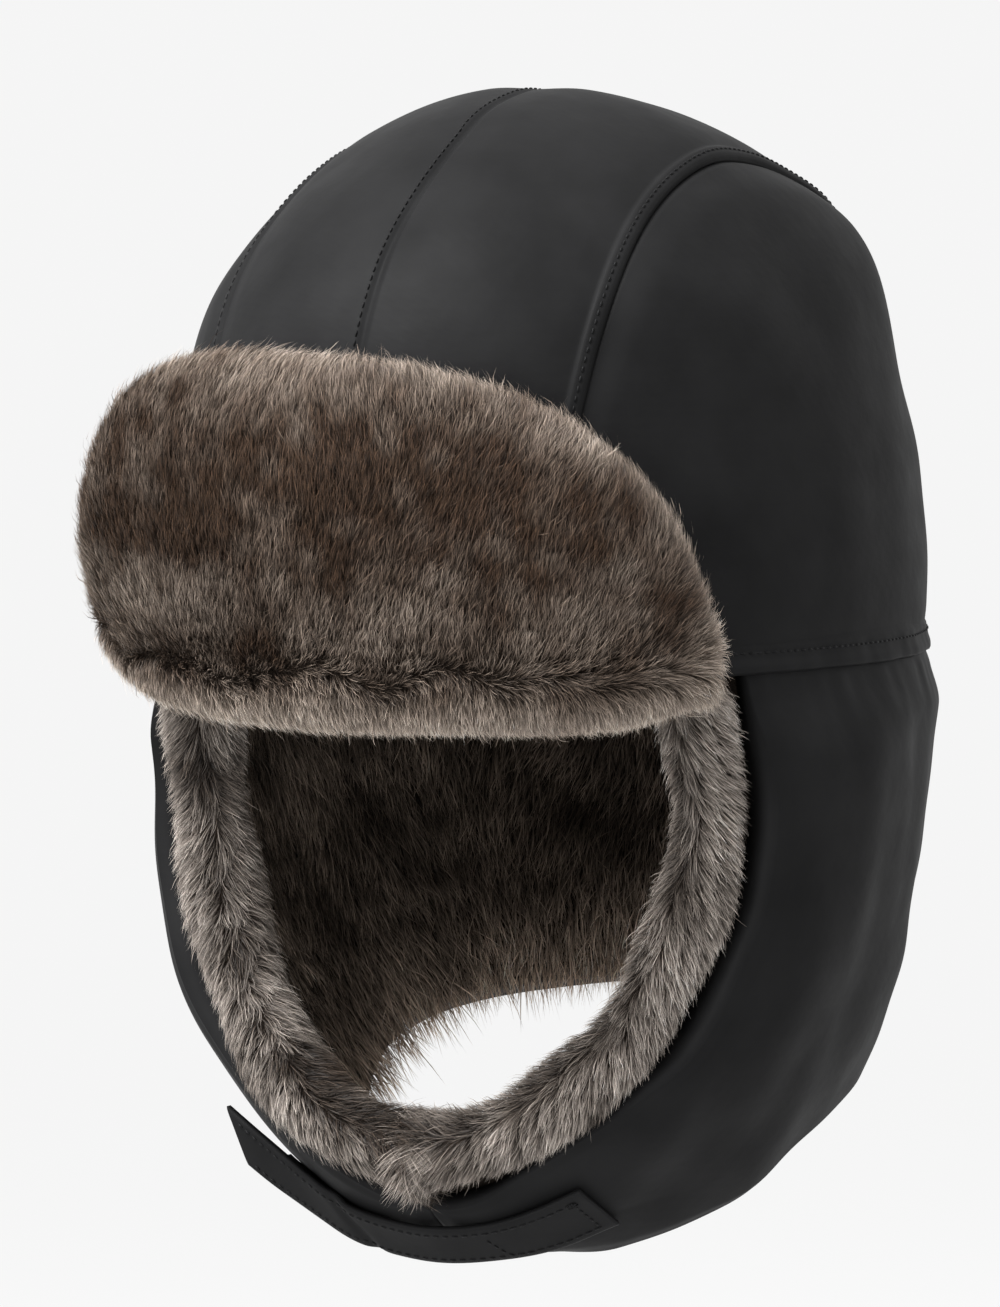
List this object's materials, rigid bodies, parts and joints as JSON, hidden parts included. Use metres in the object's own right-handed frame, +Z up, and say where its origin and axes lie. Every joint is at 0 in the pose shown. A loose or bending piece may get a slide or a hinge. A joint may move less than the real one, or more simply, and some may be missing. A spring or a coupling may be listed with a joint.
{
  "type": "trapper hat",
  "caption": "Padded trapper hat with a fur brim folded up, fur-trimmed earflaps closed under the chin by a hook-and-loop strap, and a fur lining.",
  "frame": {"origin": "middle of the wearer's head in the plane of the crown's lower seam, where the head holds the hat", "axes": "+Z up, -Y the way the face looks, +X the wearer's left"},
  "size_m": [0.2102, 0.2733, 0.3318],
  "materials": {
    "shell_fabric": "matte woven nylon",
    "wadding": "soft wadding",
    "foam": "closed-cell foam",
    "lining_fur": "faux fur",
    "trim_fur": "faux fur with pale tips",
    "hook_and_loop": "hook-and-loop tape"
  },
  "bodies": {
    "crown": {"crown_centre_panel_left": "shell_fabric", "crown_centre_panel_right": "shell_fabric", "crown_side_panel_left": "shell_fabric", "crown_side_panel_right": "shell_fabric", "waist_band": "shell_fabric", "crown_wadding": "wadding", "crown_fur_lining": "lining_fur", "neck_flap_shell": "shell_fabric", "neck_flap_wadding": "wadding", "neck_flap_fur_lining": "lining_fur"},
    "brim": {"brim_shell": "shell_fabric", "brim_stiffener": "foam", "brim_fur": "trim_fur"},
    "earflap_left": {"earflap_left_shell": "shell_fabric", "earflap_left_wadding": "wadding", "earflap_left_fur_lining": "lining_fur", "earflap_left_fur_trim": "trim_fur", "chin_strap_sewn_end": "shell_fabric"},
    "earflap_right": {"earflap_right_shell": "shell_fabric", "earflap_right_wadding": "wadding", "earflap_right_fur_lining": "lining_fur", "earflap_right_fur_trim": "trim_fur", "loop_patch": "hook_and_loop"},
    "chin_strap": {"chin_strap": "shell_fabric", "hook_patch": "hook_and_loop"}
  },
  "joints": [
    {"name": "brim_fold", "type": "hinge", "parent": "crown", "child": "brim", "pos_m": [0, -0.1252, -0.0219], "axis": [1, 0, 0], "range_deg": [0, 110]},
    {"name": "earflap_left_lift", "type": "hinge", "parent": "crown", "child": "earflap_left", "pos_m": [0.1075, 0, -0.0063], "axis": [0, -1, 0], "range_deg": [0, 150]},
    {"name": "earflap_right_lift", "type": "hinge", "parent": "crown", "child": "earflap_right", "pos_m": [-0.1075, 0, -0.0063], "axis": [0, 1, 0], "range_deg": [0, 150]},
    {"name": "chin_strap_peel", "type": "hinge", "parent": "earflap_left", "child": "chin_strap", "pos_m": [0.015, -0.0705, -0.168], "axis": [0, 0, 1], "range_deg": [0, 100], "deforming": ["chin_strap", "hook_patch"]}
  ]
}
